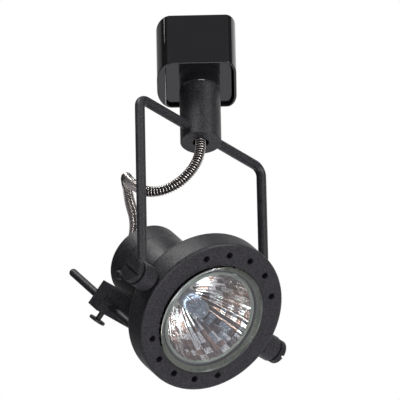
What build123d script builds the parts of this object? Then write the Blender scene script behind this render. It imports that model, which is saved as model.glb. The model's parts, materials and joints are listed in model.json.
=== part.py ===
from build123d import *
from math import cos, radians, sin, sqrt, tan
import os

os.makedirs("parts", exist_ok=True)

# Track spotlight, in millimetres. The origin is the centre of the adapter body's top face, on the
# swivel axis, with +Z up. The lamp stands as it is usually shown: the yoke is turned about the
# stem, and the head looks down and forward.

# Pose at rest
YOKE_TURN = 48.0  # the pivot axis from +X, about Z
HEAD_DIP = 51.0  # the optical axis below the horizontal

# Running gaps
RUN = 0.05  # between faces that turn or slide on each other
LOOSE = 0.1

# Adapter body and its release latch
BODY_DEEP = 40.6
BODY_TALL = 29.0
BODY_RIGHT = 18.6
BODY_ROUND = (5.0, 10.5)  # the right corners' reach across and along, as quarter ellipses
BODY_WALL = 1.2
TOP_WALL = 2.5
SEAM_X = -17.2  # the latch cover meets the body here
LATCH_LEFT = -21.5
LATCH_ROUND = (7.5, 15.5)
LATCH_TRAVEL = 3.0
BOLT_WIDE = 5.0
BOLT_THICK = 2.5
BOLT_X = -10.5  # the tongue's left face
BOLT_TOP = -5.0
TONGUE_PROUD = 5.0

# Track head
NECK_X, NECK_Y, NECK_TALL = 9.0, 11.0, 3.2
BAR_X, BAR_Y, BAR_TALL = 11.0, 16.0, 4.6
NECK_FLANGE = 1.0  # under the body's top
FLANGE_REACH = 1.2
CONTACT_THICK, CONTACT_WIDE, CONTACT_TALL = 1.2, 5.0, 2.0
EARTH_THICK = 0.6
EARTH_PROUD = 0.9

# Base plate and swivel
PLATE_LOW = -27.5
PLATE_THICK = 2.0
PLATE_TOP = PLATE_LOW + PLATE_THICK
PLATE_GAP = 1.2  # between the plate's edge and the body's rim
NIPPLE_R = 5.0
NIPPLE_BORE_R = 3.5
NIPPLE_TOP = -19.0
COLLAR_R = 10.2
COLLAR_TALL = 5.0
STEM_TOP = PLATE_LOW - COLLAR_TALL - LOOSE

# Stem and yoke
STEM_R = 10.35
STEM_LOW = -63.6
STEM_BORE_R = 4.1
SOCKET_DEEP = 8.4
FERRULE_LOW = -57.0
FERRULE_TALL = 6.0
ARM_R = 2.5
BAR_Z = -58.0  # the arms leave the stem at this height
ARM_A = 45.0  # arm to swivel axis
ARM_BEND = 5.0
PIVOT_Z = -163.5

# Pivot ends, measured along the pivot axis from the swivel axis
PAD_A = 40.2
WASHER_A = PAD_A + RUN
BOSS_A = 41.0
BOSS_LONG = 8.4
BOSS_R = 6.65
TILT_SHANK_R = 2.5
SHOULDER_R = 4.7
SHOULDER_LONG = 1.1
TILT_HEAD_R = 6.15
TILT_HEAD_LONG = 3.2
KNURLS = 40
KNURL_R = 0.22

# Front ring, with heights along the optical axis from the pivot axis
RING_R = 40.0
FACE_N = 8.0
RING_BACK_N = -8.5
FACE_IN_N = 4.6
FRONT_ROUND = 1.5
BACK_ROUND = 4.0
SKIRT_R = 35.6  # inside of the outer wall
LAMP_DROP = 1.0  # the lamp's axis lies this far below the ring's
COLLAR_IN_R = 25.6
COLLAR_OUT_R = 28.4
GLASS_R = 29.0
GLASS_THICK = 3.9
SEAT_N = 5.6
GASKET = 0.3
VENT_R = 1.72
VENT_PCR = 33.75
VENT_PITCH = 22.5
VENTS_A_SIDE = 5

# Guide rods and carrier
ROD_R = 2.05
ROD_A = 25.5
ROD_B = -25.4
ROD_END_N = -73.0
BAR_FRONT_N = -30.1
BAR_BACK_N = -38.8
BAR_HALF = 33.0
BAR_B_TOP = -16.6
BAR_B_LOW = -30.4
CLAMP_R = 1.4
CLAMP_HEAD_R = 4.35
CLAMP_HEAD_LONG = 1.5
CLAMP_SHOWN = 4.0

# Rear housing
HOUSING_R = 20.0
HOUSING_WALL = 1.6
HOUSING_FRONT_N = -15.0
HOUSING_FLARE_N = -30.0
HOUSING_FLARE_R = 21.6
CAP_SEAM_N = -51.0
CAP_BACK_N = -61.0
CAP_WALL = 2.0
SPIGOT_LONG = 3.0
GROOVE = 0.35
GLAND_A, GLAND_B = -5.5, 2.0
GLAND_R = 3.6
GLAND_FLANGE_R = 5.0

# Lamp
RIM_N = 5.2
RIM_R = 25.0
DISH_R = 23.7
DISH_FRONT_N = 4.4
NECK_R = 6.5
NECK_N = -24.0
DISH_WALL = 1.3
BASE_END_N = -41.3
PIN_A = 5.0
PIN_R = 1.5
PIN_LONG = 7.5
CAPSULE_R = 4.85
CAPSULE_TIP_N = 0.0
HOLDER_LONG = 11.0

# Steel sleeve of the lead
SLEEVE_R = 2.75

SIDES = (("left", -1), ("right", 1))

# Planes. In yoke_plane local x runs along the pivot axis and y is up; in head local x runs along
# the pivot axis, y up across the ring and z along the optical axis.
turn = radians(YOKE_TURN)
dip = radians(HEAD_DIP)
pivot_dir = Vector(cos(turn), sin(turn), 0)
ahead_dir = Vector(sin(turn), -cos(turn), 0)
optic_dir = ahead_dir * cos(dip) + Vector(0, 0, -sin(dip))
yoke_plane = Plane(origin=(0, 0, 0), x_dir=pivot_dir, z_dir=ahead_dir)
head = Plane(origin=(0, 0, PIVOT_Z), x_dir=pivot_dir, z_dir=optic_dir)
lamp = Plane(origin=head.from_local_coords((0, -LAMP_DROP, 0)), x_dir=pivot_dir, z_dir=optic_dir)
lamp_section = Plane(origin=lamp.origin, x_dir=lamp.x_dir, z_dir=-lamp.y_dir)
lamp_axis = Axis(lamp.origin, lamp.z_dir)
head_axis = Axis(head.origin, head.z_dir)


def across(a):
    """The plane square to the pivot axis at a, seen from outside on that side."""
    facing = 1 if a > 0 else -1
    return Plane(
        origin=head.from_local_coords((a, 0, 0)),
        x_dir=head.y_dir,
        z_dir=head.x_dir * facing,
    )


def under(a, b, n):
    """The plane square to the ring's upright, facing down and away from the lamp."""
    return Plane(origin=head.from_local_coords((a, b, n)), x_dir=head.x_dir, z_dir=-head.y_dir)


# ---------------------------------------------------------------- adapter
def body_shape(inset):
    """The adapter's outline in plan, latch included, set in all round by this much."""
    left, right, deep = LATCH_LEFT + inset, BODY_RIGHT - inset, BODY_DEEP / 2 - inset
    left_x, left_y = (reach - inset for reach in LATCH_ROUND)
    right_x, right_y = (reach - inset for reach in BODY_ROUND)
    with BuildSketch() as shape:
        with BuildLine():
            Line((left + left_x, -deep), (right - right_x, -deep))
            EllipticalCenterArc(
                (right - right_x, right_y - deep), right_x, right_y, start_angle=-90, arc_size=90
            )
            Line((right, right_y - deep), (right, deep - right_y))
            EllipticalCenterArc(
                (right - right_x, deep - right_y), right_x, right_y, start_angle=0, arc_size=90
            )
            Line((right - right_x, deep), (left + left_x, deep))
            EllipticalCenterArc(
                (left + left_x, deep - left_y), left_x, left_y, start_angle=90, arc_size=90
            )
            Line((left, deep - left_y), (left, left_y - deep))
            EllipticalCenterArc(
                (left + left_x, left_y - deep), left_x, left_y, start_angle=180, arc_size=90
            )
        make_face()
    return shape.sketch


def right_of(x):
    """The sketch's area to the right of x, to cut an outline with."""
    with BuildSketch() as area:
        with Locations((x, 0)):
            Rectangle(BODY_DEEP, 2 * BODY_DEEP, align=(Align.MIN, Align.CENTER))
    return area.sketch


SLOT_WIDE = BOLT_WIDE + 2 * LOOSE
POST_X, POST_Y, POST_SIDE = 13.0, 16.6, 5.2
with BuildPart() as adapter_shell:
    with BuildSketch(Plane.XY):
        add(body_shape(0))
        add(right_of(SEAM_X), mode=Mode.INTERSECT)
    extrude(amount=-BODY_TALL)
    rim_edges = adapter_shell.faces().sort_by(Axis.Z)[0].edges()
    fillet(rim_edges.sort_by(Axis.X)[1:], 0.5)
    with BuildSketch(Plane.XY.offset(-TOP_WALL)):
        add(body_shape(BODY_WALL))
        add(right_of(SEAM_X + BODY_WALL), mode=Mode.INTERSECT)
    extrude(amount=-BODY_TALL, mode=Mode.SUBTRACT)
    # corner posts that the base plate rests on
    with BuildSketch(Plane.XY.offset(-TOP_WALL)):
        with GridLocations(2 * POST_X, 2 * POST_Y, 2, 2):
            Rectangle(POST_SIDE, POST_SIDE)
    extrude(amount=PLATE_TOP + TOP_WALL)
    # the left wall stops above the base plate
    with BuildSketch(Plane.XY.offset(-BODY_TALL)):
        with Locations((SEAM_X, 0)):
            Rectangle(2 * (BODY_WALL + LOOSE), BODY_DEEP - 2 * (BODY_WALL + 2))
    extrude(amount=PLATE_TOP + BODY_TALL, mode=Mode.SUBTRACT)
    # slots for the lock bolt: in the left wall and in the top
    slot_low = BOLT_TOP - BOLT_THICK - LATCH_TRAVEL - LOOSE
    with BuildSketch(Plane.XY.offset(slot_low)):
        with Locations((SEAM_X, 0)):
            Rectangle(2 * (BODY_WALL + LOOSE), SLOT_WIDE)
    extrude(amount=BOLT_TOP + LOOSE - slot_low, mode=Mode.SUBTRACT)
    with BuildSketch(Plane.XY):
        with Locations((BOLT_X + BOLT_THICK / 2, 0)):
            Rectangle(BOLT_THICK + 2 * LOOSE, SLOT_WIDE)
    extrude(amount=-TOP_WALL, mode=Mode.SUBTRACT)
    # the hole that the track head's neck and the earth strip come up through
    with BuildSketch(Plane.XY):
        Rectangle(NECK_X, NECK_Y)
        with Locations((NECK_X / 2, 0)):
            Rectangle(2 * (EARTH_THICK + EARTH_PROUD + LOOSE), CONTACT_WIDE)
    extrude(amount=-TOP_WALL, mode=Mode.SUBTRACT)
adapter_shell.part.label = "adapter_shell"
export_step(adapter_shell.part, "parts/adapter_shell.step")

with BuildPart() as adapter_base_plate:
    with BuildSketch(Plane.XY.offset(PLATE_LOW)):
        add(body_shape(BODY_WALL + PLATE_GAP))
        add(right_of(SEAM_X + LOOSE), mode=Mode.INTERSECT)
        Circle(NIPPLE_R + RUN, mode=Mode.SUBTRACT)
    extrude(amount=PLATE_THICK)
    fillet(adapter_base_plate.faces().sort_by(Axis.Z)[0].outer_wire().edges(), 0.4)
adapter_base_plate.part.label = "adapter_base_plate"
export_step(adapter_base_plate.part, "parts/adapter_base_plate.step")

with BuildPart() as track_head:
    with BuildSketch(Plane.XY.offset(-TOP_WALL - NECK_FLANGE)):
        Rectangle(NECK_X + 2 * FLANGE_REACH, NECK_Y + 2 * FLANGE_REACH)
    extrude(amount=NECK_FLANGE)
    with BuildSketch(Plane.XY.offset(-TOP_WALL)):
        Rectangle(NECK_X, NECK_Y)
    extrude(amount=TOP_WALL + NECK_TALL)
    with BuildSketch(Plane.XY.offset(NECK_TALL)):
        RectangleRounded(BAR_X, BAR_Y, 2.5)
    extrude(amount=BAR_TALL)
    chamfer(track_head.faces().sort_by(Axis.Z)[-1].edges(), 0.8)
    # pockets in both ends of the bar for the contacts
    with BuildSketch(Plane.XY.offset(NECK_TALL + BAR_TALL / 2 - CONTACT_TALL / 2)):
        with Locations((0, BAR_Y / 2), (0, -BAR_Y / 2)):
            Rectangle(CONTACT_WIDE, 2 * CONTACT_THICK)
    extrude(amount=CONTACT_TALL, mode=Mode.SUBTRACT)
track_head.part.label = "track_head"
export_step(track_head.part, "parts/track_head.step")

for name, side in (("live_contact", 1), ("neutral_contact", -1)):
    with BuildPart() as contact:
        with BuildSketch(Plane.XY.offset(NECK_TALL + BAR_TALL / 2 - CONTACT_TALL / 2)):
            with Locations((0, side * (BAR_Y / 2 - CONTACT_THICK / 4))):
                Rectangle(CONTACT_WIDE, 1.5 * CONTACT_THICK)
        extrude(amount=CONTACT_TALL)
        outer = contact.faces().sort_by(Axis.Y)[-1 if side > 0 else 0]
        fillet(outer.edges().filter_by(Axis.X), 0.5)
    contact.part.label = name
    export_step(contact.part, f"parts/{name}.step")

# a sprung strip on the neck that touches the track's slot
with BuildPart() as earth_contact:
    with BuildSketch(Plane.XY.offset(-TOP_WALL)):
        with Locations((NECK_X / 2 + EARTH_THICK / 2, 0)):
            Rectangle(EARTH_THICK, CONTACT_WIDE - 2 * LOOSE)
    extrude(amount=TOP_WALL + NECK_TALL - LOOSE)
    with BuildSketch(Plane.YZ.offset(NECK_X / 2 + EARTH_THICK)):
        with Locations((0, NECK_TALL / 2)):
            Rectangle(CONTACT_WIDE - 1, 2.0)
    extrude(amount=EARTH_PROUD)
    fillet(earth_contact.faces().sort_by(Axis.X)[-1].edges().filter_by(Axis.Y), 0.6)
earth_contact.part.label = "earth_contact"
export_step(earth_contact.part, "parts/earth_contact.step")

BLOCK_X, BLOCK_WIDE, BLOCK_LONG, BLOCK_TALL = 6.5, 14.0, 24.0, 8.0
WIRE_HOLE_R = 2.2
with BuildPart() as terminal_block:
    with BuildSketch(Plane.XY.offset(-TOP_WALL - NECK_FLANGE)):
        with Locations((BLOCK_X, 0)):
            Rectangle(BLOCK_WIDE, BLOCK_LONG)
    extrude(amount=-BLOCK_TALL)
    with BuildSketch(Plane.XY.offset(-TOP_WALL - NECK_FLANGE - BLOCK_TALL)):
        with Locations((BLOCK_X, -8), (BLOCK_X, 0), (BLOCK_X, 8)):
            Circle(WIRE_HOLE_R)
    extrude(amount=5, mode=Mode.SUBTRACT)
terminal_block.part.label = "terminal_block"
export_step(terminal_block.part, "parts/terminal_block.step")

latch_x = SEAM_X - LOOSE
with BuildPart() as release_latch:
    with BuildSketch(Plane.XY):
        add(body_shape(0))
        add(right_of(latch_x), mode=Mode.SUBTRACT)
    extrude(amount=-BODY_TALL)
    latch_rim = release_latch.faces().sort_by(Axis.Z)[0].edges()
    fillet(latch_rim.sort_by(Axis.X)[:-1], 0.5)
release_latch.part.label = "release_latch"
export_step(release_latch.part, "parts/release_latch.step")

# an arm from the cover through the body's left wall, and a tongue up through its top
with BuildPart() as lock_bolt:
    with BuildSketch(Plane.XY.offset(BOLT_TOP)):
        with Locations(((latch_x + BOLT_X + BOLT_THICK) / 2, 0)):
            Rectangle(BOLT_X + BOLT_THICK - latch_x, BOLT_WIDE)
    extrude(amount=-BOLT_THICK)
    with BuildSketch(Plane.XY.offset(BOLT_TOP)):
        with Locations((BOLT_X + BOLT_THICK / 2, 0)):
            Rectangle(BOLT_THICK, BOLT_WIDE)
    extrude(amount=TONGUE_PROUD - BOLT_TOP)
    chamfer(lock_bolt.faces().sort_by(Axis.Z)[-1].edges().filter_by(Axis.Y), 0.8)
lock_bolt.part.label = "lock_bolt"
export_step(lock_bolt.part, "parts/lock_bolt.step")

# coil spring between the base plate and the bolt's arm
SPRING_R = 1.8
SPRING_WIRE_R = 0.25
SPRING_X = -13.4
spring_low = PLATE_TOP + SPRING_WIRE_R + RUN
spring_high = BOLT_TOP - BOLT_THICK - SPRING_WIRE_R - RUN
with BuildPart() as latch_spring:
    with BuildLine(Plane.XY.offset(spring_low).shift_origin((SPRING_X, 0, spring_low))):
        coil = Helix(pitch=1.7, height=spring_high - spring_low, radius=SPRING_R)
    with BuildSketch(Plane(origin=coil @ 0, z_dir=coil % 0)):
        Circle(SPRING_WIRE_R)
    sweep(path=coil, is_frenet=True)
latch_spring.part.label = "latch_spring"
export_step(latch_spring.part, "parts/latch_spring.step")

# ---------------------------------------------------------------- swivel and stem
with BuildPart() as swivel_collar:
    with BuildSketch(Plane.XY.offset(PLATE_LOW)):
        Circle(COLLAR_R)
    extrude(amount=-COLLAR_TALL)
    chamfer(swivel_collar.faces().sort_by(Axis.Z)[0].edges(), 0.4)
    # the stop rib, at the front left
    with BuildSketch(Plane.XY.offset(PLATE_LOW)):
        with PolarLocations(COLLAR_R, 1, start_angle=-115):
            Rectangle(1.8, 1.2)
    extrude(amount=-COLLAR_TALL + 0.6)
    with BuildSketch(Plane.XY.offset(PLATE_LOW)):
        Circle(NIPPLE_R + RUN)
    extrude(amount=-COLLAR_TALL, mode=Mode.SUBTRACT)
swivel_collar.part.label = "swivel_collar"
export_step(swivel_collar.part, "parts/swivel_collar.step")

with BuildPart() as swivel_nipple:
    with BuildSketch(Plane.XY.offset(NIPPLE_TOP)):
        Circle(NIPPLE_R)
        Circle(NIPPLE_BORE_R, mode=Mode.SUBTRACT)
    extrude(amount=STEM_TOP - SOCKET_DEEP - NIPPLE_TOP)
    chamfer(swivel_nipple.faces().sort_by(Axis.Z)[-1].outer_wire().edges(), 0.4)
swivel_nipple.part.label = "swivel_nipple"
export_step(swivel_nipple.part, "parts/swivel_nipple.step")

WASHER_R = 8.0
WASHER_THICK = 1.0
NUT_FLATS = 14.0
NUT_THICK = 4.0
with BuildPart() as swivel_washer:
    with BuildSketch(Plane.XY.offset(PLATE_TOP + RUN)):
        Circle(WASHER_R)
        Circle(NIPPLE_R, mode=Mode.SUBTRACT)
    extrude(amount=WASHER_THICK)
swivel_washer.part.label = "swivel_washer"
export_step(swivel_washer.part, "parts/swivel_washer.step")

with BuildPart() as swivel_nut:
    with BuildSketch(Plane.XY.offset(PLATE_TOP + RUN + WASHER_THICK)):
        RegularPolygon(NUT_FLATS / 2, 6, major_radius=False)
        Circle(NIPPLE_R, mode=Mode.SUBTRACT)
    extrude(amount=NUT_THICK)
swivel_nut.part.label = "swivel_nut"
export_step(swivel_nut.part, "parts/swivel_nut.step")

with BuildPart() as stem_tube:
    with BuildSketch(Plane.XY.offset(STEM_TOP)):
        Circle(STEM_R)
    extrude(amount=STEM_LOW - STEM_TOP)
    chamfer(stem_tube.edges(), 0.35)
    with BuildSketch(Plane.XY.offset(STEM_TOP)):
        Circle(NIPPLE_R)
    extrude(amount=-SOCKET_DEEP, mode=Mode.SUBTRACT)
    with BuildSketch(Plane.XY.offset(STEM_LOW)):
        Circle(STEM_BORE_R)
    extrude(amount=STEM_TOP - STEM_LOW, mode=Mode.SUBTRACT)
    # two holes for the arms
    arm_start = STEM_BORE_R + 0.8
    for facing in (-1, 1):
        start = pivot_dir * facing * arm_start + Vector(0, 0, BAR_Z)
        with BuildSketch(Plane(origin=start, z_dir=pivot_dir * facing)):
            Circle(ARM_R)
        extrude(amount=STEM_R, mode=Mode.SUBTRACT)
stem_tube.part.label = "stem_tube"
export_step(stem_tube.part, "parts/stem_tube.step")

with BuildPart() as conduit_ferrule:
    with BuildSketch(Plane.XY.offset(FERRULE_LOW)):
        Circle(STEM_BORE_R)
        Circle(1.8, mode=Mode.SUBTRACT)
    extrude(amount=FERRULE_TALL)
conduit_ferrule.part.label = "conduit_ferrule"
export_step(conduit_ferrule.part, "parts/conduit_ferrule.step")

# ---------------------------------------------------------------- yoke
ARM_LOW = PIVOT_Z + BOSS_R - 1.4
for side_name, side in SIDES:
    with BuildPart() as arm:
        with BuildLine(yoke_plane):
            rod_path = FilletPolyline(
                (side * arm_start, BAR_Z),
                (side * ARM_A, BAR_Z),
                (side * ARM_A, ARM_LOW),
                radius=ARM_BEND,
            )
        with BuildSketch(Plane(origin=rod_path @ 0, z_dir=rod_path % 0)):
            Circle(ARM_R)
        sweep(path=rod_path)
    arm.part.label = f"{side_name}_arm"
    export_step(arm.part, f"parts/{side_name}_arm.step")

    with BuildPart() as boss:
        with BuildSketch(across(side * BOSS_A)):
            Circle(BOSS_R)
        extrude(amount=BOSS_LONG)
        chamfer(boss.edges().filter_by(GeomType.CIRCLE), 0.4)
        with BuildSketch(across(side * BOSS_A)):
            Circle(TILT_SHANK_R + RUN)
        extrude(amount=BOSS_LONG, mode=Mode.SUBTRACT)
        with BuildSketch(Plane.XY.offset(ARM_LOW)):
            arm_foot = pivot_dir * side * ARM_A
            with Locations((arm_foot.X, arm_foot.Y)):
                Circle(ARM_R)
        extrude(amount=BOSS_R, mode=Mode.SUBTRACT)
    boss.part.label = f"{side_name}_boss"
    export_step(boss.part, f"parts/{side_name}_boss.step")

    with BuildPart() as pivot_washer:
        with BuildSketch(across(side * WASHER_A)):
            Circle(4.5)
            Circle(TILT_SHANK_R + RUN, mode=Mode.SUBTRACT)
        extrude(amount=BOSS_A - WASHER_A)
    pivot_washer.part.label = f"{side_name}_pivot_washer"
    export_step(pivot_washer.part, f"parts/{side_name}_pivot_washer.step")

    # thumbscrew: shank, shoulder, and a knurled head with a screwdriver slot
    shank_start = SKIRT_R - 3.0
    shoulder_start = BOSS_A + BOSS_LONG + RUN
    head_start = shoulder_start + SHOULDER_LONG
    with BuildPart() as tilt_screw:
        with BuildSketch(across(side * shank_start)):
            Circle(TILT_SHANK_R)
        extrude(amount=head_start - shank_start)
        with BuildSketch(across(side * shoulder_start)):
            Circle(SHOULDER_R)
        extrude(amount=SHOULDER_LONG)
        with BuildSketch(across(side * head_start)):
            Circle(TILT_HEAD_R)
            with PolarLocations(TILT_HEAD_R, KNURLS):
                Circle(KNURL_R, mode=Mode.SUBTRACT)
        extrude(amount=TILT_HEAD_LONG)
        with BuildSketch(across(side * (head_start + TILT_HEAD_LONG))):
            Rectangle(1.1, 2 * TILT_HEAD_R)
        extrude(amount=-1.1, mode=Mode.SUBTRACT)
    tilt_screw.part.label = f"{side_name}_tilt_screw"
    export_step(tilt_screw.part, f"parts/{side_name}_tilt_screw.step")

# ---------------------------------------------------------------- front ring
LUG_R = 4.2
LUG_WIDE = 9.0
LUG_IN = 31.0
with BuildPart() as front_ring:
    with BuildSketch(head.offset(RING_BACK_N)):
        Circle(RING_R)
    extrude(amount=FACE_N - RING_BACK_N)
    along = front_ring.edges().filter_by(GeomType.CIRCLE).sort_by(head_axis)
    fillet(along[-1], FRONT_ROUND)
    fillet(along[0], BACK_ROUND)
    # hollow behind the face, with lugs left for the rods and the tilt screws
    with BuildSketch(head.offset(RING_BACK_N)):
        Circle(SKIRT_R)
        with Locations((0, -LAMP_DROP)):
            Circle(COLLAR_OUT_R, mode=Mode.SUBTRACT)
        with Locations((-ROD_A, ROD_B), (ROD_A, ROD_B)):
            Circle(LUG_R, mode=Mode.SUBTRACT)
        with Locations((-SKIRT_R, 0), (SKIRT_R, 0)):
            Rectangle(2 * (SKIRT_R - LUG_IN), LUG_WIDE, mode=Mode.SUBTRACT)
    extrude(amount=FACE_IN_N - RING_BACK_N, mode=Mode.SUBTRACT)
    with BuildSketch(lamp.offset(RING_BACK_N)):
        Circle(COLLAR_IN_R)
    extrude(amount=FACE_N - RING_BACK_N, mode=Mode.SUBTRACT)
    with BuildSketch(lamp.offset(SEAT_N)):
        Circle(GLASS_R + 0.3)
    extrude(amount=FACE_N - SEAT_N, mode=Mode.SUBTRACT)
    # vents through the face: two groups, above and below
    vent_arc = VENT_PITCH * (VENTS_A_SIDE - 1)
    with BuildSketch(head.offset(FACE_IN_N)):
        for middle in (90, 270):
            first = middle - vent_arc / 2
            with PolarLocations(VENT_PCR, VENTS_A_SIDE, first, vent_arc, endpoint=True):
                Circle(VENT_R)
    extrude(amount=FACE_N - FACE_IN_N, mode=Mode.SUBTRACT)
    for side_name, side in SIDES:
        with BuildSketch(across(side * (SKIRT_R + 1))):
            Circle(5.2)
        extrude(amount=PAD_A - SKIRT_R - 1)
        with BuildSketch(across(side * (shank_start - LOOSE))):
            Circle(TILT_SHANK_R + RUN)
        extrude(amount=RING_R, mode=Mode.SUBTRACT)
    with BuildSketch(head.offset(RING_BACK_N)):
        with Locations((-ROD_A, ROD_B), (ROD_A, ROD_B)):
            Circle(ROD_R)
    extrude(amount=-RING_BACK_N, mode=Mode.SUBTRACT)
front_ring.part.label = "front_ring"
export_step(front_ring.part, "parts/front_ring.step")

with BuildPart() as glass_gasket:
    with BuildSketch(lamp.offset(SEAT_N)):
        Circle(GLASS_R)
        Circle(COLLAR_IN_R + 0.6, mode=Mode.SUBTRACT)
    extrude(amount=GASKET)
glass_gasket.part.label = "glass_gasket"
export_step(glass_gasket.part, "parts/glass_gasket.step")

with BuildPart() as front_glass:
    with BuildSketch(lamp.offset(SEAT_N + GASKET)):
        Circle(GLASS_R)
    extrude(amount=GLASS_THICK)
    glass_edges = front_glass.edges().filter_by(GeomType.CIRCLE).sort_by(lamp_axis)
    fillet(glass_edges[-1], 1.6)
    fillet(glass_edges[0], 0.6)
front_glass.part.label = "front_glass"
export_step(front_glass.part, "parts/front_glass.step")

for side_name, side in SIDES:
    with BuildPart() as guide_rod:
        with BuildSketch(head.offset(ROD_END_N)):
            with Locations((side * ROD_A, ROD_B)):
                Circle(ROD_R)
        extrude(amount=-ROD_END_N)
        rod_edges = guide_rod.edges().filter_by(GeomType.CIRCLE)
        fillet(rod_edges.sort_by(head_axis)[0], 1.3)
    guide_rod.part.label = f"{side_name}_guide_rod"
    export_step(guide_rod.part, f"parts/{side_name}_guide_rod.step")

# ---------------------------------------------------------------- lamp carrier
BAR_MID_N = (BAR_FRONT_N + BAR_BACK_N) / 2
SADDLE_SCREW_A = 7.0
with BuildPart() as carrier_bar:
    with BuildSketch(head.offset(BAR_BACK_N)):
        with Locations((0, (BAR_B_TOP + BAR_B_LOW) / 2)):
            Rectangle(2 * BAR_HALF, BAR_B_TOP - BAR_B_LOW)
        with Locations((0, -LAMP_DROP)):
            Circle(HOUSING_R, mode=Mode.SUBTRACT)
        with Locations((-ROD_A, ROD_B), (ROD_A, ROD_B)):
            Circle(ROD_R + RUN, mode=Mode.SUBTRACT)
    extrude(amount=BAR_FRONT_N - BAR_BACK_N)
    for side_name, side in SIDES:
        with BuildSketch(under(side * ROD_A, ROD_B, BAR_MID_N)):
            Circle(CLAMP_R + RUN)
        extrude(amount=RING_R, mode=Mode.SUBTRACT)
        with BuildSketch(under(side * SADDLE_SCREW_A, ROD_B, BAR_MID_N)):
            Circle(1.5)
        extrude(amount=RING_R, both=True, mode=Mode.SUBTRACT)
        with BuildSketch(under(side * SADDLE_SCREW_A, BAR_B_LOW, BAR_MID_N)):
            Circle(2.8)
        extrude(amount=-2.0, mode=Mode.SUBTRACT)
carrier_bar.part.label = "carrier_bar"
export_step(carrier_bar.part, "parts/carrier_bar.step")

# the two screws that hold the housing on the bar share a node
with BuildPart() as saddle_screws:
    for side_name, side in SIDES:
        with BuildSketch(under(side * SADDLE_SCREW_A, BAR_B_LOW, BAR_MID_N)):
            Circle(2.7)
        extrude(amount=-1.9)
        with BuildSketch(under(side * SADDLE_SCREW_A, BAR_B_LOW, BAR_MID_N)):
            Circle(1.5)
        extrude(amount=-13.2)
        with BuildSketch(under(side * SADDLE_SCREW_A, BAR_B_LOW, BAR_MID_N)):
            RegularPolygon(1.3, 6)
        extrude(amount=-1.2, mode=Mode.SUBTRACT)
saddle_screws.part.label = "saddle_screws"
export_step(saddle_screws.part, "parts/saddle_screws.step")

for side_name, side in SIDES:
    with BuildPart() as clamp_screw:
        clamp_top = ROD_B - ROD_R - RUN
        clamp_low = BAR_B_LOW - CLAMP_SHOWN
        with BuildSketch(under(side * ROD_A, clamp_top, BAR_MID_N)):
            Circle(CLAMP_R)
        extrude(amount=clamp_top - clamp_low)
        with BuildSketch(under(side * ROD_A, clamp_low, BAR_MID_N)):
            Circle(CLAMP_HEAD_R)
        extrude(amount=CLAMP_HEAD_LONG)
        head_rims = clamp_screw.edges().filter_by(GeomType.CIRCLE).group_by(SortBy.RADIUS)[-1]
        fillet(head_rims, 0.4)
    clamp_screw.part.label = f"{side_name}_clamp_screw"
    export_step(clamp_screw.part, f"parts/{side_name}_clamp_screw.step")

HOUSING_IN_R = HOUSING_R - HOUSING_WALL
FLARE_IN_R = HOUSING_FLARE_R - HOUSING_WALL
side_screw_out = Vector(-0.894, -0.447)
side_screw_dir = lamp.x_dir * side_screw_out.X + lamp.y_dir * side_screw_out.Y
SIDE_SCREW_N = -46.0


def side_screw_plane(radius):
    """The plane square to the housing's side screw at this distance from the lamp's axis."""
    foot = lamp.from_local_coords((0, 0, SIDE_SCREW_N)) + side_screw_dir * radius
    return Plane(origin=foot, z_dir=side_screw_dir)


with BuildPart() as rear_housing:
    with BuildSketch(lamp_section):
        with BuildLine():
            Polyline(
                (HOUSING_IN_R, CAP_SEAM_N),
                (HOUSING_R, CAP_SEAM_N),
                (HOUSING_R, HOUSING_FLARE_N),
                (HOUSING_FLARE_R, HOUSING_FRONT_N),
                (FLARE_IN_R, HOUSING_FRONT_N),
                (HOUSING_IN_R, HOUSING_FLARE_N),
                close=True,
            )
        make_face()
        for groove_n in (CAP_SEAM_N + 1.2, CAP_SEAM_N + 2.6):
            with Locations((HOUSING_R, groove_n)):
                Rectangle(GROOVE, GROOVE, rotation=45, mode=Mode.SUBTRACT)
    revolve(axis=lamp_axis)
    with BuildSketch(side_screw_plane(HOUSING_IN_R - 1)):
        Circle(1.5)
    extrude(amount=4, mode=Mode.SUBTRACT)
    for side_name, side in SIDES:
        with BuildSketch(under(side * SADDLE_SCREW_A, ROD_B, BAR_MID_N)):
            Circle(1.5)
        extrude(amount=-14, mode=Mode.SUBTRACT)
rear_housing.part.label = "rear_housing"
export_step(rear_housing.part, "parts/rear_housing.step")

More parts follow.
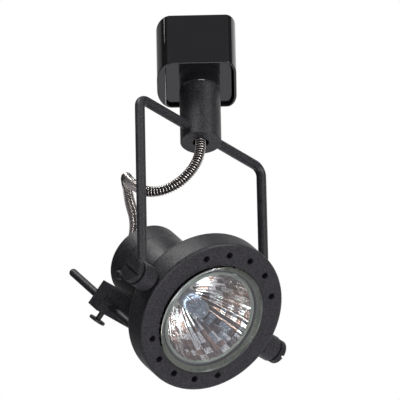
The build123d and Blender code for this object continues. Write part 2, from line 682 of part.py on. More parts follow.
HOLDER_FRONT_N = BASE_END_N - 0.2
HOLDER_BACK_N = HOLDER_FRONT_N - HOLDER_LONG
HOLDER_SCREW_A = 10.5
cap_in_n = CAP_BACK_N + CAP_WALL
with BuildPart() as rear_cap:
    with BuildSketch(lamp_section):
        with BuildLine():
            Polyline(
                (0, CAP_BACK_N),
                (HOUSING_R, CAP_BACK_N),
                (HOUSING_R, CAP_SEAM_N),
                (HOUSING_IN_R - RUN, CAP_SEAM_N),
                (HOUSING_IN_R - RUN, CAP_SEAM_N + SPIGOT_LONG),
                (HOUSING_IN_R - 1.2, CAP_SEAM_N + SPIGOT_LONG),
                (HOUSING_IN_R - 1.2, cap_in_n),
                (0, cap_in_n),
                close=True,
            )
        make_face()
    revolve(axis=lamp_axis)
    cap_rim = rear_cap.edges().filter_by(GeomType.CIRCLE).group_by(SortBy.RADIUS)[-1]
    fillet(cap_rim.sort_by(lamp_axis)[0], 0.8)
    # posts for the lampholder, with screw holes
    with BuildSketch(lamp.offset(cap_in_n)):
        with Locations((-HOLDER_SCREW_A, 0), (HOLDER_SCREW_A, 0)):
            Circle(2.6)
    extrude(amount=HOLDER_BACK_N - cap_in_n)
    with BuildSketch(lamp.offset(HOLDER_BACK_N)):
        with Locations((-HOLDER_SCREW_A, 0), (HOLDER_SCREW_A, 0)):
            Circle(1.2)
    extrude(amount=-5, mode=Mode.SUBTRACT)
    with BuildSketch(head.offset(CAP_BACK_N)):
        with Locations((GLAND_A, GLAND_B)):
            Circle(GLAND_R)
    extrude(amount=CAP_WALL, mode=Mode.SUBTRACT)
rear_cap.part.label = "rear_cap"
export_step(rear_cap.part, "parts/rear_cap.step")

GLAND_FLANGE = 1.4
gland = Plane(
    origin=head.from_local_coords((GLAND_A, GLAND_B, CAP_BACK_N)), x_dir=head.x_dir, z_dir=head.z_dir
)
with BuildPart() as cap_gland:
    with BuildSketch(gland.offset(-GLAND_FLANGE)):
        Circle(GLAND_FLANGE_R)
    extrude(amount=GLAND_FLANGE)
    fillet(cap_gland.edges().sort_by(Axis(gland.origin, gland.z_dir))[0], 0.7)
    with BuildSketch(gland):
        Circle(GLAND_R)
    extrude(amount=CAP_WALL)
    with BuildSketch(gland.offset(-GLAND_FLANGE)):
        Circle(SLEEVE_R + 0.3)
    extrude(amount=GLAND_FLANGE + CAP_WALL, mode=Mode.SUBTRACT)
cap_gland.part.label = "cap_gland"
export_step(cap_gland.part, "parts/cap_gland.step")

with BuildPart() as housing_side_screw:
    with BuildSketch(side_screw_plane(HOUSING_IN_R - 1)):
        Circle(1.5)
    extrude(amount=5.2)
    with BuildSketch(side_screw_plane(HOUSING_IN_R + 4.2)):
        Circle(2.3)
    extrude(amount=2.2)
    dome_rims = housing_side_screw.edges().filter_by(GeomType.CIRCLE).group_by(SortBy.RADIUS)[-1]
    fillet(dome_rims.sort_by(Axis(lamp.origin, side_screw_dir))[-1], 1.4)
housing_side_screw.part.label = "housing_side_screw"
export_step(housing_side_screw.part, "parts/housing_side_screw.step")

with BuildPart() as lamp_holder:
    with BuildSketch(lamp.offset(HOLDER_BACK_N)):
        RectangleRounded(27.5, 16, 5)
        with Locations((-HOLDER_SCREW_A, 0), (HOLDER_SCREW_A, 0)):
            Circle(1.3, mode=Mode.SUBTRACT)
    extrude(amount=HOLDER_LONG)
    # twist-lock slots for the lamp's pins
    with BuildSketch(lamp.offset(HOLDER_FRONT_N)):
        with Locations((-PIN_A, 0), (PIN_A, 0)):
            Circle(2.8)
    extrude(amount=-9, mode=Mode.SUBTRACT)
lamp_holder.part.label = "lamp_holder"
export_step(lamp_holder.part, "parts/lamp_holder.step")

with BuildPart() as holder_contacts:
    with BuildSketch(lamp.offset(HOLDER_FRONT_N - 9)):
        with Locations((-PIN_A, 0), (PIN_A, 0)):
            Circle(2.6)
    extrude(amount=0.8)
holder_contacts.part.label = "holder_contacts"
export_step(holder_contacts.part, "parts/holder_contacts.step")

with BuildPart() as holder_screws:
    with BuildSketch(lamp.offset(HOLDER_BACK_N - 4)):
        with Locations((-HOLDER_SCREW_A, 0), (HOLDER_SCREW_A, 0)):
            Circle(1.2)
    extrude(amount=HOLDER_LONG + 4)
    with BuildSketch(lamp.offset(HOLDER_FRONT_N)):
        with Locations((-HOLDER_SCREW_A, 0), (HOLDER_SCREW_A, 0)):
            Circle(2.2)
    extrude(amount=1.4)
    with BuildSketch(lamp.offset(HOLDER_FRONT_N + 1.4)):
        with Locations((-HOLDER_SCREW_A, 0), (HOLDER_SCREW_A, 0)):
            Rectangle(0.6, 5)
    extrude(amount=-0.7, mode=Mode.SUBTRACT)
holder_screws.part.label = "holder_screws"
export_step(holder_screws.part, "parts/holder_screws.step")

# ---------------------------------------------------------------- lamp
# The dish is a paraboloid, radius squared growing evenly from the neck to the rim.
dish_rate = (DISH_R**2 - NECK_R**2) / (DISH_FRONT_N - NECK_N)


def dish_points(thicker, steps=7):
    """Points along the dish's section from the neck to the rim, this much outside its face."""
    heights = [NECK_N + (DISH_FRONT_N - NECK_N) * i / steps for i in range(steps + 1)]
    return [(sqrt(NECK_R**2 + dish_rate * (n - NECK_N)) + thicker, n) for n in heights]


inner_points = dish_points(0)
outer_points = dish_points(DISH_WALL)
with BuildPart() as lamp_reflector:
    with BuildSketch(lamp_section):
        with BuildLine():
            Spline(inner_points)
            Polyline(inner_points[-1], (DISH_R, RIM_N), (RIM_R, RIM_N), outer_points[-1])
            Spline(outer_points)
            Line(outer_points[0], inner_points[0])
        make_face()
    revolve(axis=lamp_axis)
lamp_reflector.part.label = "lamp_reflector"
export_step(lamp_reflector.part, "parts/lamp_reflector.step")

with BuildPart() as lamp_base:
    with BuildSketch(lamp_section):
        with BuildLine():
            Polyline(
                (0, BASE_END_N),
                (8.0, BASE_END_N),
                (8.0, -38),
                (11.5, -35),
                (11.5, -27),
                (NECK_R + DISH_WALL, NECK_N),
                (CAPSULE_R, NECK_N),
                (CAPSULE_R, -29),
                (0, -29),
                close=True,
            )
        make_face()
    revolve(axis=lamp_axis)
lamp_base.part.label = "lamp_base"
export_step(lamp_base.part, "parts/lamp_base.step")

with BuildPart() as lamp_pins:
    with BuildSketch(lamp.offset(BASE_END_N)):
        with Locations((-PIN_A, 0), (PIN_A, 0)):
            Circle(PIN_R)
    extrude(amount=-PIN_LONG)
    with BuildSketch(lamp.offset(BASE_END_N - PIN_LONG + 2)):
        with Locations((-PIN_A, 0), (PIN_A, 0)):
            Circle(2.4)
    extrude(amount=-2)
lamp_pins.part.label = "lamp_pins"
export_step(lamp_pins.part, "parts/lamp_pins.step")

# quartz capsule: a thin-walled tube with a round tip
CAPSULE_WALL = 0.9
CAPSULE_FOOT_N = -24.5
with BuildPart() as lamp_capsule:
    with BuildSketch(lamp_section):
        with BuildLine():
            bend_n = CAPSULE_TIP_N - CAPSULE_R
            outside_r = CAPSULE_R - RUN
            inside_r = outside_r - CAPSULE_WALL
            Line((inside_r, CAPSULE_FOOT_N), (outside_r, CAPSULE_FOOT_N))
            Line((outside_r, CAPSULE_FOOT_N), (outside_r, bend_n))
            RadiusArc((outside_r, bend_n), (0, bend_n + outside_r), -outside_r)
            Line((0, bend_n + outside_r), (0, bend_n + inside_r))
            RadiusArc((0, bend_n + inside_r), (inside_r, bend_n), inside_r)
            Line((inside_r, bend_n), (inside_r, CAPSULE_FOOT_N))
        make_face()
    revolve(axis=lamp_axis)
lamp_capsule.part.label = "lamp_capsule"
export_step(lamp_capsule.part, "parts/lamp_capsule.step")

# filament on two lead wires
with BuildPart() as lamp_filament:
    with BuildSketch(lamp.offset(-29)):
        with Locations((-1.9, 0), (1.9, 0)):
            Circle(0.3)
    extrude(amount=19)
    with BuildSketch(Plane(origin=lamp.from_local_coords((-2.7, 0, -10)), z_dir=lamp.x_dir)):
        Circle(0.6)
    extrude(amount=5.4)
lamp_filament.part.label = "lamp_filament"
export_step(lamp_filament.part, "parts/lamp_filament.step")

# ---------------------------------------------------------------- lead
# The sleeve leaves the stem straight down, loops out to the left past the arm, turns back over
# itself and comes down to the rear cap.
gland_mouth = head.from_local_coords((GLAND_A, GLAND_B, CAP_BACK_N + CAP_WALL - 0.4))
gland_before = head.from_local_coords((GLAND_A, GLAND_B, CAP_BACK_N - 9.5))
sleeve_points = [
    (0, 0, FERRULE_LOW),
    (0, 0, -66.5),
    (-2.2, 0, -76.0),
    (-9.0, 0, -85.6),
    (-17.8, 0.4, -91.5),
    (-27.0, 3.0, -90.8),
    (-33.0, 9.0, -83.5),
    (-36.4, 15.0, -76.0),
    (-37.6, 22.5, -70.4),
    (-36.8, 30.0, -71.6),
    (-35.4, 32.6, -78.5),
    (-34.2, 30.2, -87.5),
    (-33.9, 27.4, -97.0),
    tuple(gland_before),
    tuple(gland_mouth),
]


def corner_radii(points, share=0.45):
    """The largest arc that each corner's two runs allow."""
    radii = []
    for before, corner, after in zip(points, points[1:], points[2:]):
        arriving = Vector(*corner) - Vector(*before)
        leaving = Vector(*after) - Vector(*corner)
        half_turn = radians(arriving.get_angle(leaving)) / 2
        radii.append(share * min(arriving.length, leaving.length) / tan(half_turn))
    return radii


sleeve_radii = corner_radii(sleeve_points)
print("sleeve radii", [round(radius, 1) for radius in sleeve_radii])
with BuildPart() as spring_conduit:
    with BuildLine():
        sleeve_path = FilletPolyline(*sleeve_points, radius=sleeve_radii)
    with BuildSketch(Plane(origin=sleeve_path @ 0, z_dir=sleeve_path % 0)):
        Circle(SLEEVE_R)
    sweep(path=sleeve_path)
print("sleeve length", round(sleeve_path.length, 1))
spring_conduit.part.label = "spring_conduit"
export_step(spring_conduit.part, "parts/spring_conduit.step")
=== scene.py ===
import json
import math
import random

import bmesh
import bpy
from mathutils import Matrix, Vector


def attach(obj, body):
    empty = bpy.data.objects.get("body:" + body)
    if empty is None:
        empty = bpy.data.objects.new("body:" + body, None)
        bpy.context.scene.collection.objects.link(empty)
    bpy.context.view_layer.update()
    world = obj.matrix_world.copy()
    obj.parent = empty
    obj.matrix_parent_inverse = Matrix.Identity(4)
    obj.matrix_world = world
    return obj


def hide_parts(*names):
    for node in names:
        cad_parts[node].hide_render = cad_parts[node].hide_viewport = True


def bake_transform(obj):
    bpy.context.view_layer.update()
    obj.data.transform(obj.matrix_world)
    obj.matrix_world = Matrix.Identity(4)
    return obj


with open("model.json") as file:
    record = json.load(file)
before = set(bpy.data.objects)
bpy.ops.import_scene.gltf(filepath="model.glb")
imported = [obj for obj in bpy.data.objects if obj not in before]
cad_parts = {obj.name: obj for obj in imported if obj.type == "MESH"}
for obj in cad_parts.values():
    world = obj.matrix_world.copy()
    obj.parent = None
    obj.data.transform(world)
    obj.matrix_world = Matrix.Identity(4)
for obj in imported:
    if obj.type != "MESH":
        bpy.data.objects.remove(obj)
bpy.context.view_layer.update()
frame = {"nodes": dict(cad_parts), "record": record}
nodes = frame["nodes"]
random.seed(7)

MM = 0.001

# ---------------------------------------------------------------- the design's directions
YOKE_TURN = math.radians(48)
HEAD_DIP = math.radians(51)
PIVOT = Vector((0, 0, -163.5)) * MM
LAMP_DROP = 1.0
PIVOT_DIR = Vector((math.cos(YOKE_TURN), math.sin(YOKE_TURN), 0))
AHEAD = Vector((math.sin(YOKE_TURN), -math.cos(YOKE_TURN), 0))
OPTIC_DIR = AHEAD * math.cos(HEAD_DIP) - Vector((0, 0, math.sin(HEAD_DIP)))
RING_UP = OPTIC_DIR.cross(PIVOT_DIR)


def in_head(a, b, n):
    """The point this many millimetres along the pivot axis, up across the ring and along the optic."""
    return PIVOT + (PIVOT_DIR * a + RING_UP * b + OPTIC_DIR * n) * MM


def in_lamp(a, b, n):
    """As in_head, but from the lamp's own axis, which lies a little lower."""
    return in_head(a, b - LAMP_DROP, n)


# ---------------------------------------------------------------- camera
VIEW_UP = math.radians(33)  # the camera looks up at the lamp
VIEW_SIDE = math.radians(0)
VIEW_ROLL = math.radians(-1.2)
VIEW_FAR = 5.0
AIM = Vector((0, 0, -0.0979))
AIM_SIDE = 0.00105

look = Vector((
    math.sin(VIEW_SIDE) * math.cos(VIEW_UP), math.cos(VIEW_SIDE) * math.cos(VIEW_UP), math.sin(VIEW_UP)
))
level = Vector((math.cos(VIEW_SIDE), -math.sin(VIEW_SIDE), 0))
upright = level.cross(look)
right = level * math.cos(VIEW_ROLL) + upright * math.sin(VIEW_ROLL)
above = right.cross(look)
camera = bpy.data.objects.new("camera", bpy.data.cameras.new("camera"))
bpy.context.collection.objects.link(camera)
camera.data.lens = 900
camera.data.sensor_width = 36
camera.data.clip_end = 50
place = Matrix((right, above, -look)).transposed().to_4x4()
place.translation = AIM - right * AIM_SIDE - look * VIEW_FAR
camera.matrix_world = place
bpy.context.scene.camera = camera


# ---------------------------------------------------------------- small helpers
def mesh_piece(name, points, faces, smooth=True, materials=()):
    mesh = bpy.data.meshes.new(name)
    mesh.from_pydata([tuple(p) for p in points], [], faces)
    mesh.update()
    for face in mesh.polygons:
        face.use_smooth = smooth
    for material in materials:
        mesh.materials.append(material)
    piece = bpy.data.objects.new(name, mesh)
    bpy.context.collection.objects.link(piece)
    return piece


def shader(name, color, roughness, metallic=0.0):
    """A new material and its Principled shader."""
    material = bpy.data.materials.new(name)
    material.use_nodes = True
    surface = material.node_tree.nodes["Principled BSDF"]
    surface.inputs["Base Color"].default_value = (*color, 1)
    surface.inputs["Roughness"].default_value = roughness
    surface.inputs["Metallic"].default_value = metallic
    return material, surface


def noise(material, scale, detail=3.0, stretch=(1, 1, 1)):
    """A noise texture in the object's own frame; a higher scale gives finer grain."""
    tree = material.node_tree
    where = tree.nodes.new("ShaderNodeTexCoord")
    mapping = tree.nodes.new("ShaderNodeMapping")
    mapping.inputs["Scale"].default_value = stretch
    texture = tree.nodes.new("ShaderNodeTexNoise")
    texture.inputs["Scale"].default_value = scale
    texture.inputs["Detail"].default_value = detail
    tree.links.new(where.outputs["Object"], mapping.inputs["Vector"])
    tree.links.new(mapping.outputs["Vector"], texture.inputs["Vector"])
    return texture.outputs["Fac"]


def ramp(material, source, low, high, span=(0.3, 0.7)):
    """The source drawn from one colour or grey to another."""
    tree = material.node_tree
    scale = tree.nodes.new("ShaderNodeValToRGB")
    for element, at, value in zip(scale.color_ramp.elements, span, (low, high)):
        element.position = at
        element.color = (*value, 1) if isinstance(value, tuple) else (value, value, value, 1)
    tree.links.new(source, scale.inputs["Fac"])
    return scale.outputs["Color"]


def bump(material, surface, source, height, strength):
    """Raises the surface where the source is bright, by this height in metres."""
    tree = material.node_tree
    node = tree.nodes.new("ShaderNodeBump")
    node.inputs["Distance"].default_value = height
    node.inputs["Strength"].default_value = strength
    tree.links.new(source, node.inputs["Height"])
    tree.links.new(node.outputs["Normal"], surface.inputs["Normal"])


def wire(material, source, surface, socket):
    """Joins a texture's output to one of the surface's sockets."""
    material.node_tree.links.new(source, surface.inputs[socket])


# ---------------------------------------------------------------- materials
def powder_coat():
    material, surface = shader("powder_coat", (0.02, 0.019, 0.021), 0.5)
    surface.inputs["Specular IOR Level"].default_value = 0.4
    grain = noise(material, 1500, 1.0)
    tone = ramp(material, grain, (0.005, 0.0047, 0.0055), (0.034, 0.031, 0.037), (0.38, 0.66))
    wire(material, tone, surface, "Base Color")
    wire(material, ramp(material, noise(material, 60, 3.0), 0.40, 0.55), surface, "Roughness")
    bump(material, surface, grain, 0.0002, 0.8)
    return material


def gloss_black():
    material, surface = shader("gloss_black", (0.010, 0.0095, 0.0105), 0.12)
    wire(material, ramp(material, noise(material, 90, 4.0), 0.08, 0.17), surface, "Roughness")
    bump(material, surface, noise(material, 25, 2.0), 0.0003, 0.15)
    return material


def matt_black():
    material, surface = shader("matt_black", (0.016, 0.016, 0.017), 0.6)
    wire(material, ramp(material, noise(material, 700, 2.0), 0.5, 0.7), surface, "Roughness")
    bump(material, surface, noise(material, 3000, 1.0), 0.00003, 0.5)
    return material


def metal(name, color, low, high):
    """Bare metal whose roughness wanders between low and high."""
    material, surface = shader(name, color, low, 1.0)
    wire(material, ramp(material, noise(material, 300, 3.0, (1, 1, 8)), low, high), surface, "Roughness")
    return material


def clear_glass():
    material, surface = shader("clear_glass", (0.93, 0.97, 0.955), 0.0)
    surface.inputs["Transmission Weight"].default_value = 1.0
    surface.inputs["IOR"].default_value = 1.5
    bump(material, surface, noise(material, 120, 1.0), 0.00002, 0.2)
    return material


def quartz():
    material, surface = shader("quartz", (0.68, 0.75, 0.87), 0.03)
    surface.inputs["Transmission Weight"].default_value = 0.85
    surface.inputs["IOR"].default_value = 1.6
    bump(material, surface, noise(material, 500, 1.0), 0.0001, 0.25)
    return material


def dichroic():
    """Coated mirror: silver, with brown facets; the tint of each facet is its own."""
    material, surface = shader("dichroic_mirror", (0.88, 0.87, 0.86), 0.07, 1.0)
    tint = material.node_tree.nodes.new("ShaderNodeAttribute")
    tint.attribute_name = "tint"
    colors = material.node_tree.nodes.new("ShaderNodeValToRGB")
    stops = (
        (0.0, (0.95, 0.95, 0.96)),
        (0.58, (0.88, 0.87, 0.88)),
        (0.68, (0.52, 0.36, 0.30)),
        (1.0, (0.26, 0.23, 0.24)),
    )
    for _ in stops[2:]:
        colors.color_ramp.elements.new(0.5)
    for element, (at, color) in zip(colors.color_ramp.elements, stops):
        element.position = at
        element.color = (*color, 1)
    material.node_tree.links.new(tint.outputs["Fac"], colors.inputs["Fac"])
    wire(material, colors.outputs["Color"], surface, "Base Color")
    bump(material, surface, noise(material, 400, 2.0), 0.0001, 0.25)
    return material


def ceramic():
    material, surface = shader("white_ceramic", (0.78, 0.75, 0.70), 0.55)
    tone = ramp(material, noise(material, 500, 3.0), (0.70, 0.67, 0.62), (0.84, 0.82, 0.78))
    wire(material, tone, surface, "Base Color")
    return material


def silicone():
    material, surface = shader("seal_rubber", (0.19, 0.20, 0.165), 0.35)
    wire(material, ramp(material, noise(material, 900, 2.0), 0.4, 0.6), surface, "Roughness")
    return material


def brass():
    material, surface = shader("contact_brass", (0.75, 0.55, 0.28), 0.3, 1.0)
    wire(material, ramp(material, noise(material, 400, 3.0), 0.2, 0.4), surface, "Roughness")
    return material


finishes = {
    "powder_coat": powder_coat(),
    "gloss_black": gloss_black(),
    "black_plastic": matt_black(),
    "bright_steel": metal("bright_steel", (0.62, 0.62, 0.62), 0.22, 0.38),
    "sleeve_steel": metal("sleeve_steel", (0.56, 0.52, 0.49), 0.12, 0.22),
    "contact_brass": brass(),
    "clear_glass": clear_glass(),
    "quartz": quartz(),
    "dichroic_mirror": dichroic(),
    "white_ceramic": ceramic(),
    "seal_rubber": silicone(),
    "filament_wire": metal("filament_wire", (0.4, 0.4, 0.41), 0.3, 0.5),
}
# The lead inside the coil is real, but its near-black colour is painted shade for the dark gaps between
# the coil's turns.
lead_and_painted_gap_shade = shader("lead_and_painted_gap_shade", (0.004, 0.004, 0.004), 0.8)[0]
pressed_glass = shader("pressed_glass", (0.30, 0.32, 0.28), 0.12)[0]

for part in frame["record"]["subparts"]:
    for slot in nodes[part["node"]].material_slots:
        slot.material = finishes[part["material_slot"]]

# ---------------------------------------------------------------- the lead's coiled sleeve
SLEEVE_R = 2.75
WIRE_R = 0.29
WIRE_SIDES = 6
COIL_STEP = 0.055  # along the sleeve, between the wire's points
LEAD_R = SLEEVE_R - 2.4 * WIRE_R
LEAD_STEP = 0.8
LEAD_SIDES = 12
# How far apart the turns are along the sleeve: open at first, closed round the loop
PITCHES = ((0, 1.42), (52, 1.38), (58, 0.66), (84, 0.66), (90, 1.1), (140, 1.15))
GLAND = (-5.5, 2.0)
# The four points round the top of the loop stand up to 3.1 mm from the CAD route's
sleeve_points = [
    (0, 0, -57.0),
    (0, 0, -66.5),
    (-2.2, 0, -76.0),
    (-9.0, 0, -85.6),
    (-17.8, 0.4, -91.5),
    (-27.0, 3.0, -90.8),
    (-33.0, 9.0, -83.5),
    (-36.8, 15.5, -75.0),
    (-38.2, 23.0, -67.6),
    (-37.6, 31.0, -68.8),
    (-36.2, 33.2, -78.0),
    (-34.2, 30.2, -87.5),
    (-33.9, 27.4, -97.0),
]
route = [Vector(p) * MM for p in sleeve_points]
route.append(in_head(*GLAND, -70.5))
route.append(in_head(*GLAND, -59.4))


def smooth_line(points):
    """The points that a NURBS spline through this route's corners gives."""
    curve = bpy.data.curves.new("sleeve_route", "CURVE")
    curve.dimensions = "3D"
    curve.resolution_u = 24
    spline = curve.splines.new("NURBS")
    spline.points.add(len(points) - 1)
    for control, point in zip(spline.points, points):
        control.co = (*point, 1)
    spline.order_u = 3
    spline.use_endpoint_u = True
    holder = bpy.data.objects.new("sleeve_route", curve)
    mesh = bpy.data.meshes.new_from_object(holder)
    line = [v.co.copy() for v in mesh.vertices]
    bpy.data.objects.remove(holder)
    return line


def evenly(line, step):
    """The line again, with points this far apart."""
    out = [line[0].copy()]
    left = step
    for a, b in zip(line, line[1:]):
        run = (b - a).length
        at = 0.0
        while run - at >= left:
            at += left
            out.append(a.lerp(b, at / run))
            left = step
        left -= run - at
    return out


def frames_along(line):
    """A direction across the line at each point, carried along it without twisting."""
    side = Vector((1, 0, 0))
    for i, point in enumerate(line):
        ahead = (line[min(i + 1, len(line) - 1)] - line[max(i - 1, 0)]).normalized()
        side = (side - ahead * side.dot(ahead)).normalized()
        yield point, side, ahead.cross(side), ahead


def tube(path, radius, sides, points, faces):
    """Adds a round tube with capped ends along the path."""
    start = len(points)
    for point, side, other, _ in frames_along(path):
        for k in range(sides):
            turn = 2 * math.pi * k / sides
            points.append(point + (side * math.cos(turn) + other * math.sin(turn)) * radius)
    for i in range(len(path) - 1):
        for k in range(sides):
            a, b = start + i * sides + k, start + i * sides + (k + 1) % sides
            faces.append((a, b, b + sides, a + sides))
    faces.append(tuple(start + k for k in reversed(range(sides))))
    faces.append(tuple(start + (len(path) - 1) * sides + k for k in range(sides)))


def pitch_at(along):
    """How far apart the coil's turns are, this far along the sleeve."""
    for (a, pitch_a), (b, pitch_b) in zip(PITCHES, PITCHES[1:]):
        if along <= b:
            return pitch_a + (pitch_b - pitch_a) * (along - a) / (b - a)
    return PITCHES[-1][1]


def make_sleeve():
    """The coil of round wire and, inside it, the lead, whose near-black colour is painted shade between
    the turns.
    """
    line = evenly(smooth_line(route), COIL_STEP * MM)
    coil = []
    turn = 0.0
    for i, (point, side, other, _) in enumerate(frames_along(line)):
        turn += 2 * math.pi * COIL_STEP / pitch_at(i * COIL_STEP)
        coil.append(point + (side * math.cos(turn) + other * math.sin(turn)) * (SLEEVE_R - WIRE_R) * MM)
    points, faces = [], []
    tube(coil, WIRE_R * MM, WIRE_SIDES, points, faces)
    wire_faces = len(faces)
    core = evenly(line, LEAD_STEP * MM)
    tube(core, LEAD_R * MM, LEAD_SIDES, points, faces)
    sleeve = mesh_piece("spring_sleeve", points, faces, True, (finishes["sleeve_steel"], lead_and_painted_gap_shade))
    for face in sleeve.data.polygons[wire_faces:]:
        face.material_index = 1
    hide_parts("spring_conduit")
    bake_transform(sleeve)


make_sleeve()


# ---------------------------------------------------------------- lamp
DISH_R, NECK_R, DISH_FRONT_N, NECK_N = 23.7, 6.5, 4.4, -24.0
DISH_WALL, RIM_R, RIM_N = 1.3, 25.0, 5.2
RIBS = 36
RIB_STEPS = 4
RIB_DEEP = 0.42
RIB_DEEP_AT_NECK = 0.35  # as a share of RIB_DEEP
TIERS = 9
TIER_STEPS = 3
TIER_DEEP = 0.35  # as a share of the rib's depth


def dish_radius(n):
    return math.sqrt(NECK_R**2 + (DISH_R**2 - NECK_R**2) * (n - NECK_N) / (DISH_FRONT_N - NECK_N))


def make_dish():
    """The mirror: ribs from neck to rim, crossed by shallow steps, on a smooth glass back."""
    around = RIBS * RIB_STEPS
    points, faces, tints = [], [], []
    rows = []
    for i in range(TIERS * TIER_STEPS + 1):
        share = i / (TIERS * TIER_STEPS)
        n = NECK_N + (DISH_FRONT_N - NECK_N) * share
        swell = math.sin(math.pi * (i % TIER_STEPS) / TIER_STEPS)
        deep = RIB_DEEP * (RIB_DEEP_AT_NECK + (1 - RIB_DEEP_AT_NECK) * share)
        row = []
        for k in range(around):
            rib = math.sin(math.pi * (k % RIB_STEPS) / RIB_STEPS)
            radius = dish_radius(n) - deep * (rib + TIER_DEEP * swell)
            turn = 2 * math.pi * k / around
            row.append(len(points))
            points.append(in_lamp(radius * math.cos(turn), radius * math.sin(turn), n))
        rows.append(row)
    facet_tint = {}
    for i, (low, high) in enumerate(zip(rows, rows[1:])):
        for k in range(around):
            facet = (i // TIER_STEPS, k // RIB_STEPS)
            facet_tint.setdefault(facet, random.random())
            faces.append((low[k], low[(k + 1) % around], high[(k + 1) % around], high[k]))
            tints.append(facet_tint[facet])
    mirror_faces = len(faces)
    back = [(DISH_R, RIM_N), (RIM_R - 0.1, RIM_N), (RIM_R, RIM_N - 0.9), (RIM_R, DISH_FRONT_N - 1)]
    back += [(dish_radius(n) + DISH_WALL, n) for n in (-1, -6, -11, -16, -20, NECK_N)]
    last = rows[-1]
    for radius, n in back:
        row = []
        for k in range(around):
            turn = 2 * math.pi * k / around
            row.append(len(points))
            points.append(in_lamp(radius * math.cos(turn), radius * math.sin(turn), n))
        for k in range(around):
            faces.append((last[k], last[(k + 1) % around], row[(k + 1) % around], row[k]))
            tints.append(0.0)
        last = row
    for k in range(around):
        faces.append((last[k], last[(k + 1) % around], rows[0][(k + 1) % around], rows[0][k]))
        tints.append(0.0)
    dish = mesh_piece("mirror_dish", points, faces, True, (finishes["dichroic_mirror"], pressed_glass))
    for face in dish.data.polygons[mirror_faces:]:
        face.material_index = 1
    tint = dish.data.attributes.new("tint", "FLOAT", "FACE")
    tint.data.foreach_set("value", tints)
    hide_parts("lamp_reflector")
    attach(dish, "carrier")


def lathe(name, profile, material, steps=64):
    """Turns a closed profile of (radius, height) about the lamp's axis."""
    points, faces = [], []
    count = len(profile)
    for radius, n in profile:
        for k in range(steps):
            turn = 2 * math.pi * k / steps
            points.append(in_lamp(radius * math.cos(turn), radius * math.sin(turn), n))
    for i in range(count):
        for k in range(steps):
            a, b = i * steps + k, i * steps + (k + 1) % steps
            c, d = ((i + 1) % count) * steps + (k + 1) % steps, ((i + 1) % count) * steps + k
            faces.append((a, b, c, d))
    piece = mesh_piece(name, points, faces, True, (material,))
    bm = bmesh.new()
    bm.from_mesh(piece.data)
    bmesh.ops.remove_doubles(bm, verts=bm.verts, dist=1e-6)
    bmesh.ops.recalc_face_normals(bm, faces=bm.faces)
    bm.to_mesh(piece.data)
    bm.free()
    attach(piece, "carrier")
    return piece


CAPSULE_R, CAPSULE_WALL = 4.8, 0.8
CAPSULE_FOOT_N, CAPSULE_BEND_N = -24.5, -5.6
CAPSULE_STEPS = 16
NIPPLE_TALL, DIMPLE_DEEP = 0.8, 0.4


def make_capsule():
    """Quartz tube with a round tip and the small nipple that its pump stem left."""
    inside_r = CAPSULE_R - CAPSULE_WALL
    outside = [(CAPSULE_R, CAPSULE_FOOT_N)]
    inside = [(inside_r, CAPSULE_FOOT_N)]
    for k in range(CAPSULE_STEPS + 1):
        turn = math.pi / 2 * k / CAPSULE_STEPS
        nipple = NIPPLE_TALL * math.exp(-(((k - 16) / 2.0) ** 2))
        dimple = DIMPLE_DEEP * math.exp(-(((k - 11) / 1.5) ** 2))
        height = CAPSULE_BEND_N + CAPSULE_R * math.sin(turn) + nipple - dimple
        outside.append((CAPSULE_R * math.cos(turn), height))
        inside.append((inside_r * math.cos(turn), CAPSULE_BEND_N + inside_r * math.sin(turn)))
    outside[-1] = (0.0, outside[-1][1])
    inside[-1] = (0.0, inside[-1][1])
    capsule = lathe("quartz_capsule", outside + inside[::-1], finishes["quartz"])
    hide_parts("lamp_capsule")


FILAMENT_N = -10
FILAMENT_LONG, FILAMENT_R, FILAMENT_WIRE_R = 4.4, 0.55, 0.11
FILAMENT_TURNS, FILAMENT_STEPS = 12, 10
SUPPORT_R = 0.22


def make_filament():
    """The tungsten coil across the capsule and the two wires that hold it."""
    points, faces = [], []
    coil = []
    count = FILAMENT_TURNS * FILAMENT_STEPS
    for i in range(count + 1):
        turn = 2 * math.pi * i / FILAMENT_STEPS
        along = FILAMENT_LONG * (i / count - 0.5)
        coil.append(
            in_lamp(along, FILAMENT_R * math.cos(turn), FILAMENT_N + FILAMENT_R * math.sin(turn))
        )
    tube(coil, FILAMENT_WIRE_R * MM, 5, points, faces)
    for a in (-FILAMENT_LONG / 2, FILAMENT_LONG / 2):
        support = [in_lamp(a, 0.4, n) for n in (-28, -22, -16, FILAMENT_N)]
        tube(support, SUPPORT_R * MM, 8, points, faces)
    filament = mesh_piece("filament_coil", points, faces, True, (finishes["filament_wire"],))
    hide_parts("lamp_filament")
    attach(filament, "carrier")


# Painted shade: a black sheet that darkens the vents, where the real ring has only shade inside.
SHADE_SHEET_IN_R, SHADE_SHEET_OUT_R = 28.6, 35.4
SHADE_SHEET_FRONT_N, SHADE_SHEET_BACK_N = -7.0, -7.4
SHADE_SHEET_STEPS = 38
SHADE_SHEET_STEP = 4  # degrees; the two arcs stop short of the tilt screws


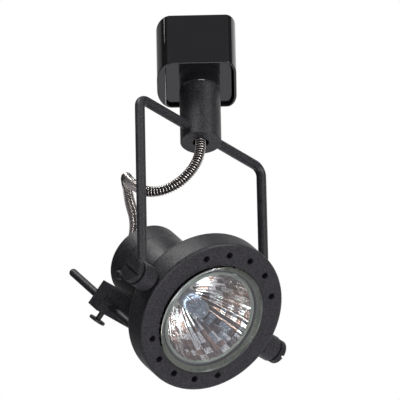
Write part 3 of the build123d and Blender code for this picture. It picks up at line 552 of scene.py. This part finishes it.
def make_painted_vent_shade():
    """A black sheet in the ring's hollow, put there as painted shade: it keeps daylight out of the vents
    so that they look dark. The CAD has none.
    """
    section = [
        (SHADE_SHEET_IN_R, SHADE_SHEET_FRONT_N),
        (SHADE_SHEET_OUT_R, SHADE_SHEET_FRONT_N),
        (SHADE_SHEET_OUT_R, SHADE_SHEET_BACK_N),
        (SHADE_SHEET_IN_R, SHADE_SHEET_BACK_N),
    ]
    points, faces = [], []
    for first in (14, 194):
        start = len(points)
        for k in range(SHADE_SHEET_STEPS + 1):
            turn = math.radians(first + SHADE_SHEET_STEP * k)
            for radius, n in section:
                points.append(in_head(radius * math.cos(turn), radius * math.sin(turn), n))
        for k in range(SHADE_SHEET_STEPS):
            a, b = start + 4 * k, start + 4 * (k + 1)
            for i in range(4):
                faces.append((a + i, a + (i + 1) % 4, b + (i + 1) % 4, b + i))
        faces.append(tuple(start + i for i in (3, 2, 1, 0)))
        faces.append(tuple(start + 4 * SHADE_SHEET_STEPS + i for i in range(4)))
    shading_sheet = mesh_piece("vent_painted_shade", points, faces, False, (finishes["black_plastic"],))
    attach(shading_sheet, "head")


make_dish()
make_capsule()
make_filament()
make_painted_vent_shade()


# ---------------------------------------------------------------- stage and light
def glow(name, grey):
    """A faintly blue surface that gives out this much light."""
    material = bpy.data.materials.new(name)
    material.use_nodes = True
    tree = material.node_tree
    tree.nodes.clear()
    light = tree.nodes.new("ShaderNodeEmission")
    light.inputs["Color"].default_value = (grey, grey, grey * 1.02, 1)
    out = tree.nodes.new("ShaderNodeOutputMaterial")
    tree.links.new(light.outputs["Emission"], out.inputs["Surface"])
    return material


FLOOR_Z = -3.2
FLOOR_HALF = 8
floor_points = [(x, y, FLOOR_Z) for x, y in ((-1, -1), (1, -1), (1, 1), (-1, 1))]
floor_points = [(x * FLOOR_HALF, y * FLOOR_HALF, z) for x, y, z in floor_points]
floor_paint = shader("floor", (0.82, 0.80, 0.87), 0.8)[0]
floor = mesh_piece("floor", floor_points, [(0, 1, 2, 3)], False, (floor_paint,))

# Dark studio flags, seen only in reflections. They stand in front, overhead and at the sides, reach
# farther back on the left, and are open below.
FLAG_FAR = 3.0
FLAG_SIDE = 0.72  # beyond this share of the way round to the side, they are the darker cloth
flag_bm = bmesh.new()
bmesh.ops.create_uvsphere(flag_bm, u_segments=48, v_segments=24, radius=FLAG_FAR)
open_faces = []
for face in flag_bm.faces:
    toward = face.calc_center_median().normalized()
    farthest_back = 0.9 if toward.x < -0.25 else 0.35
    if toward.y > farthest_back or toward.z < -0.45:
        open_faces.append(face)
bmesh.ops.delete(flag_bm, geom=open_faces, context="FACES")
flag_mesh = bpy.data.meshes.new("flags")
flag_bm.to_mesh(flag_mesh)
flag_bm.free()
flags = bpy.data.objects.new("flags", flag_mesh)
bpy.context.collection.objects.link(flags)
flag_mesh.materials.append(glow("flag_front", 0.25))
flag_mesh.materials.append(glow("flag_side", 0.03))
for face in flag_mesh.polygons:
    toward = face.center.normalized()
    face.material_index = 1 if abs(toward.x) > FLAG_SIDE else 0
flags.visible_camera = False

world = bpy.data.worlds.new("studio")
bpy.context.scene.world = world
world.use_nodes = True
world.node_tree.nodes["Background"].inputs["Color"].default_value = (1, 1, 1, 1)
world.node_tree.nodes["Background"].inputs["Strength"].default_value = 1.0


def softbox(name, place_at, aim_at, size, power):
    """A rectangular light turned to a point; the power is in watts."""
    data = bpy.data.lights.new(name, "AREA")
    data.shape = "RECTANGLE"
    data.size, data.size_y = size
    data.energy = power
    light = bpy.data.objects.new(name, data)
    light.location = place_at
    toward = Vector(aim_at) - Vector(place_at)
    light.rotation_euler = toward.to_track_quat("-Z", "Y").to_euler()
    bpy.context.collection.objects.link(light)


softbox("key", (-0.45, -0.6, 1.2), (0, 0, -0.1), (0.5, 0.4), 14)
softbox("fill", (1.1, -0.9, -0.3), (0, 0, -0.1), (0.3, 1.0), 7)
softbox("low", (0.2, -0.9, -1.2), (0, 0, -0.12), (0.7, 0.3), 6)
softbox("rim", (1.3, -1.46, 0.35), (0, 0, -0.14), (0.5, 0.5), 16)
bpy.context.scene.view_settings.view_transform = "Standard"
